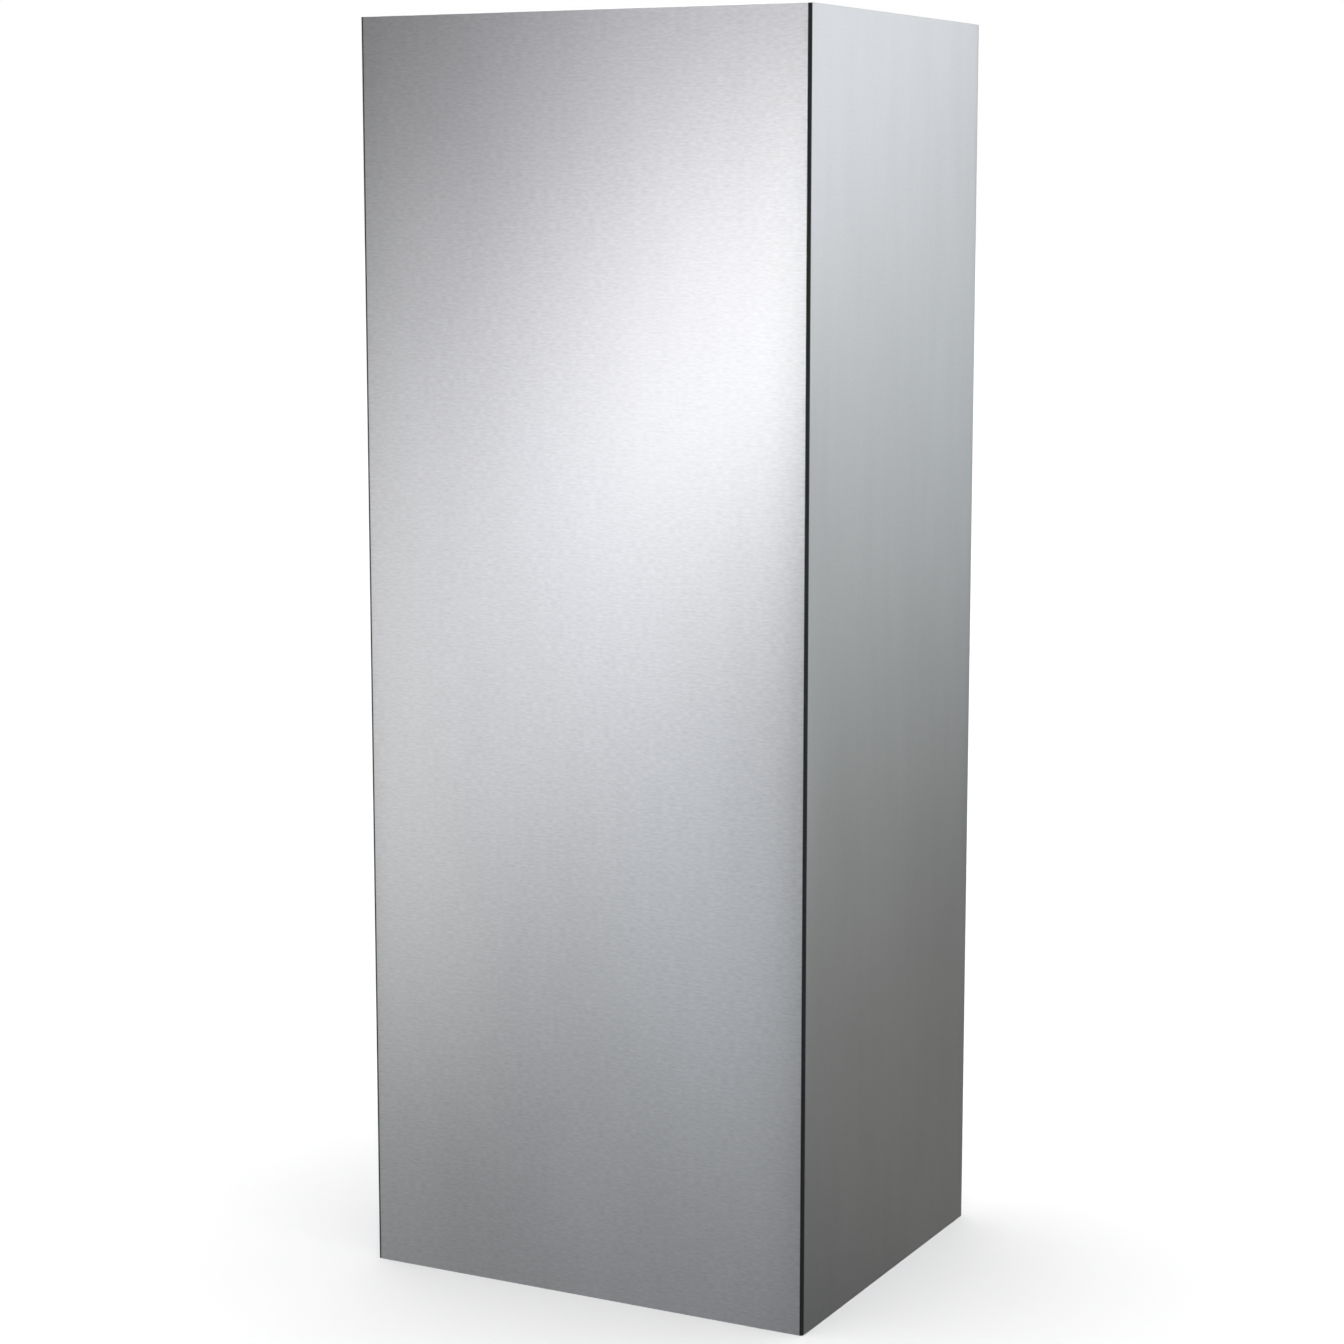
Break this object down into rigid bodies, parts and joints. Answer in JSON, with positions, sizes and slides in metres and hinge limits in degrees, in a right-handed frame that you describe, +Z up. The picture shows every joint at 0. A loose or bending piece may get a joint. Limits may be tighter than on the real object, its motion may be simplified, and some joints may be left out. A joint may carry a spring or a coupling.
{
  "type": "cooker hood chimney section",
  "caption": "Folded brushed steel channel that hides the duct above a wall-mounted cooker hood, open at its back and ends, with slotted return flanges for a wall bracket.",
  "frame": {"origin": "middle of the footprint, on the base plane that the lower rim stands on", "axes": "+Z up along the height, -Y out of the front, +Y towards the wall, +X to the right as seen from the front"},
  "size_m": [0.308, 0.258, 0.8],
  "materials": {
    "brushed_sheet": "fine brushed stainless sheet, the grain running level round the section"
  },
  "bodies": {
    "root": {"chimney_casing": "brushed_sheet"}
  },
  "joints": []
}
